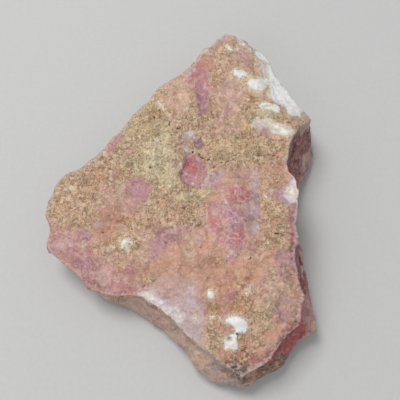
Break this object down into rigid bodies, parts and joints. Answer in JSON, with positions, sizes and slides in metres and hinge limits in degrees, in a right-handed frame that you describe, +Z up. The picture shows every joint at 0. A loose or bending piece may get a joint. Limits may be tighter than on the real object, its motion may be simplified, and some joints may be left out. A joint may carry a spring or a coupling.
{
  "type": "pink opal specimen",
  "caption": "Broken hand piece of pink opal in tan host rock: a flat three-cornered slab with a pitted crust, smooth pink patches and chipped steep sides, lying on its flattest face",
  "frame": {"origin": "under the middle of the stone's bounding box, on the plane it rests on", "axes": "+Z up; +Y from the blunt south end to the pointed north tip, the stone's longest extent; +X to the east, towards the hollowed wall"},
  "size_m": [0.0686, 0.0922, 0.0188],
  "materials": {
    "opal_in_matrix": "satin"
  },
  "bodies": {
    "root": {"pink_opal_specimen": "opal_in_matrix"}
  },
  "joints": []
}
